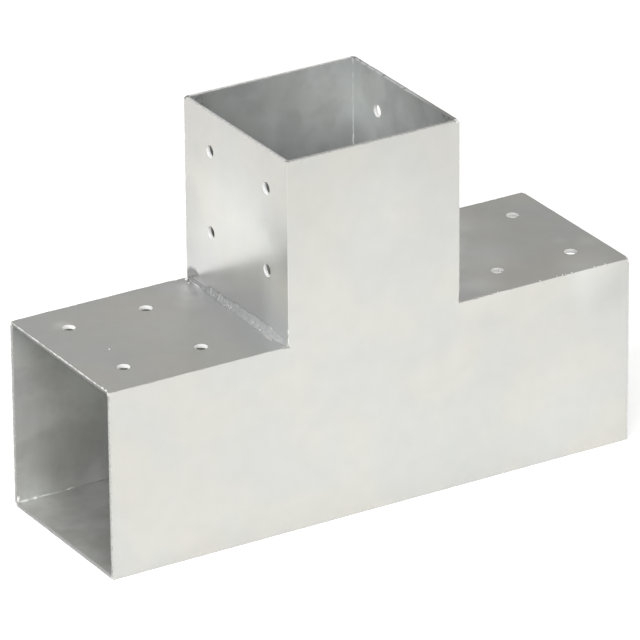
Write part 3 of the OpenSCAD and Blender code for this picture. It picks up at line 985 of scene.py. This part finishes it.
def fillet_reach(spot, angle, size, share, seed):
    """Distance from the inside corner to the bead's face, at an angle from the arm's top. The bead
    is hollow at the front. The ripples are strongest in one stretch, where a groove parts them
    into two rows, and lumps on the arm's side in another."""
    arm_leg = FILLET_ARM_LEG * (1 + FILLET_LEG_SPREAD * noise_at(spot, FILLET_ARM_LEG_WAVE, seed + 23))
    riser_wave = noise_at(spot, FILLET_RISER_LEG_WAVE, seed + 29)
    riser_leg = FILLET_RISER_LEG * (1 + FILLET_LEG_SPREAD * riser_wave)
    flat_face = size / (math.cos(angle) / arm_leg + math.sin(angle) / riser_leg)
    swell = math.sin(2 * angle)
    drift = RIPPLE_DRIFT * noise_at(spot, RIPPLE_DRIFT_SIZE, seed)
    turn = spot.y / RIPPLE_PITCH + RIPPLE_LEAD * swell + drift
    rippled = blend_in(share, *RIPPLED_SHARE)
    ripple = rippled * (abs(math.sin(math.pi * turn)) - RIPPLE_TROUGH)
    groove = rippled * max(0, 1 - abs(angle - GROOVE_ANGLE) / GROOVE_HALF_ANGLE)
    on_arm_side = math.cos(angle) ** 2
    lumps = LUMPS_EVERYWHERE + LUMPS_ON_ARM_SIDE * blend_in(share, *LUMPY_SHARE) * on_arm_side
    lump = lumps * noise_at(spot + Vector((0, 0, angle * LUMP_STRETCH)), LUMP_SIZE, seed + 3)
    raised = RIPPLE_HEIGHT * ripple + LUMP_HEIGHT * lump - GROOVE_DEPTH * groove
    return flat_face * (1 + value_at(FILLET_SWELLS, share) * swell) + swell * raised


def fillet(name, x_side, seed):
    """A rippled fillet weld in the corner between an arm's top and the upright tube. It is thin at
    the back, where it was started, and widest at the front."""
    mesh = bmesh.new()
    length = FILLET_HIGH.y - FILLET_LOW.y
    count = round(length / FILLET_STEP)
    rings = []
    for i in range(count + 1):
        share = i / count
        spot = Vector((x_side * RISER_X, FILLET_LOW.y + share * length, BAR_TOP))
        run_out = min(1, length * share / FILLET_FRONT_RUN_OUT,
                      length * (1 - share) / FILLET_BACK_RUN_OUT)
        run_out = FILLET_END_SHARE + (1 - FILLET_END_SHARE) * math.sin(math.pi / 2 * run_out)
        wander = FILLET_SIZE_MIDDLE + FILLET_SIZE_SPREAD * noise_at(spot, FILLET_SIZE_WAVE, seed + 7)
        size = run_out * value_at(FILLET_SIZES, share) * wander
        ring = [mesh.verts.new(spot)]
        for k in range(FILLET_ARC_POINTS):
            angle = math.pi / 2 * k / (FILLET_ARC_POINTS - 1)
            reach = fillet_reach(spot, angle, size, share, seed)
            off = Vector((x_side * reach * math.cos(angle), 0, reach * math.sin(angle)))
            ring.append(mesh.verts.new(spot + off))
        rings.append(ring)
    last = len(rings[0]) - 1
    ring_walls(mesh, rings, 0, lambda i: i not in (0, last))
    mesh.faces.new(rings[0])
    mesh.faces.new(rings[-1])
    return new_piece(f"{name}_dressed", mesh, [FINISHES["weld"]], name)


def drops(name, places, finish="painted_highlight"):
    """Small drops of metal, each sunk to its middle. A place is its centre and half lengths. By default
    they take the near-white finish, which paints them as glints.
    """
    mesh = bmesh.new()
    for centre, half in places:
        at = Matrix.Translation(centre) @ Matrix.Diagonal((*half, 1))
        bmesh.ops.create_icosphere(mesh, subdivisions=2, radius=1, matrix=at)
    for face in mesh.faces:
        face.smooth = True
    return new_piece(name, mesh, [FINISHES[finish]])


def on_arms(places):
    """Drops on the arms' tops. A place is (x, y, radius)."""
    return [((x, y, BAR_TOP), (radius, radius, DROP_FLATNESS * radius)) for x, y, radius in places]


def in_metres(places):
    """Centres and half lengths given in millimetres, in metres."""
    return [([part * MM for part in centre], [part * MM for part in half]) for centre, half in places]


def spatter_and_glint_places():
    """Places of the spatter: a wandering row beside the weld, and the drops where it was started. In the
    near-white finish the row is a painted highlight along the weld.
    """
    draw = random.Random(SPATTER_SEED)
    places = list(START_DROPS)
    for _ in range(SPATTER_COUNT):
        x = -RISER_X - draw.uniform(*SPATTER_OFF)
        places.append((x, draw.uniform(*SPATTER_Y), draw.uniform(*SPATTER_RADIUS)))
    return places


def direction(azimuth, elevation):
    """Unit vector towards an azimuth and an elevation in degrees. Azimuth 0 is the front."""
    turn, tilt = math.radians(azimuth), math.radians(elevation)
    return Vector((math.sin(turn) * math.cos(tilt), -math.cos(turn) * math.cos(tilt), math.sin(tilt)))


def make_camera():
    """The camera at the photograph's viewing angle."""
    back = direction(CAMERA_AZIMUTH, CAMERA_ELEVATION)
    right = (-back).cross(Vector((0, 0, 1))).normalized()
    up = right.cross(-back)
    roll = Matrix.Rotation(math.radians(CAMERA_ROLL), 3, "Z")
    rotation = Matrix((right, up, back)).transposed() @ roll
    camera = put_in_scene("camera", bpy.data.cameras.new("camera"))
    camera.data.sensor_width = SENSOR_WIDTH
    camera.data.lens = LENS
    camera.data.clip_end = CAMERA_CLIP_END
    camera.matrix_world = Matrix.Translation(CAMERA_TARGET + back * CAMERA_DISTANCE) @ rotation.to_4x4()
    bpy.context.scene.camera = camera


def make_lamp(name, azimuth, elevation, distance, size, power):
    """A square soft lamp that faces the part."""
    lamp = bpy.data.lights.new(name, "AREA")
    lamp.shape = "SQUARE"
    lamp.size = size
    lamp.energy = power
    holder = put_in_scene(name, lamp)
    away = direction(azimuth, elevation)
    holder.location = LAMP_AIM + away * distance
    holder.rotation_euler = away.to_track_quat("Z", "Y").to_euler()


def floor_finish():
    """A pale matt floor that shows a little brighter to the camera and in the metal."""
    finish = Finish("pale_floor")
    path = finish.node("ShaderNodeLightPath").outputs
    seen = finish.math("MAXIMUM", path["Is Camera Ray"], path["Is Glossy Ray"])
    seen = finish.math("MAXIMUM", seen, path["Is Transmission Ray"])
    finish.put((1.0, 1.0, 1.0), finish.shader.inputs["Emission Color"])
    finish.put(finish.product(seen, FLOOR_GLOW), finish.shader.inputs["Emission Strength"])
    return finish.done(FLOOR_COLOUR, *FLOOR_LOOK)


def make_stage():
    """The floor, and a low backdrop all round it for views from low down."""
    mesh = bmesh.new()
    rings = [[mesh.verts.new((*(spoke * BACKDROP_RADIUS), height)) for spoke in spokes(BACKDROP_SIDES)]
             for height in (0, BACKDROP_HEIGHT)]
    ring_walls(mesh, rings, 0)
    mesh.faces.new(rings[0])
    floor = mesh_object("floor", mesh, [floor_finish()])


def make_room():
    """The world's even light, the lamps and the stage."""
    world = bpy.data.worlds.new("room")
    world.use_nodes = True
    world.node_tree.nodes["Background"].inputs["Color"].default_value = (*ROOM_COLOUR, 1)
    bpy.context.scene.world = world
    make_lamp("key", *KEY_LAMP)
    make_lamp("side", *SIDE_LAMP)
    make_lamp("top", *TOP_LAMP)
    make_stage()


# The near-white finish is a painted highlight
FINISHES = {"outside": outside_zinc(), "inside": inside_zinc(), "cut": cut_zinc(),
            "broken": torn_steel("broken_edge", BREAK_GREY, CUT_DULL, 0.66),
            "dull": torn_steel("dull_edge", DULL_GREY, CUT_DULL, 0.56), "rim": rim_zinc(),
            "fading": fading_break(), "knotted": knotted_edge(),
            "painted_highlight": white_painted_highlight(), "weld": weld_metal(), "root": root_metal()}
SHEET_FINISHES = [FINISHES[name] for name in ("outside", "inside", "cut", "broken", "dull", "rim",
                                              "painted_highlight", "fading", "knotted")]
OUTSIDE, INSIDE, CUT, BROKEN, DULL, RIM, BORE_PAINTED_HIGHLIGHT, FADING, KNOTTED = range(9)
BRIGHT_END = (0.92, CUT, INSIDE)
RIM_END = (0.80, RIM, DULL)
BROKEN_END = (0.34, BROKEN, FADING)
SHEARED_END = (0.30, KNOTTED, BROKEN)
TORN_END = (0.45, RIM, DULL)
SEAM_FINISHES = [FINISHES["outside"], FINISHES["root"], FINISHES["painted_highlight"], FINISHES["broken"]]
SEAM_PLAIN, SEAM_ROOT, SEAM_PAINTED_HIGHLIGHT, SEAM_BROKEN = range(4)

bpy.context.scene.view_settings.view_transform = "Standard"
make_camera()
make_room()
make_plates()
make_seams()
fillet("left_fillet_weld", -1, 0.0)
fillet("right_fillet_weld", 1, 40.0)
drops("left_fillet_spatter_and_glints", on_arms(spatter_and_glint_places()))
drops("arm_specks", on_arms(ARM_SPECKS_AND_GLINTS))
drops("zinc_drips_and_glints", in_metres(ZINC_DRIPS_AND_GLINTS))
drops("left_fillet_ridge", in_metres(FILLET_RIDGE), "cut")
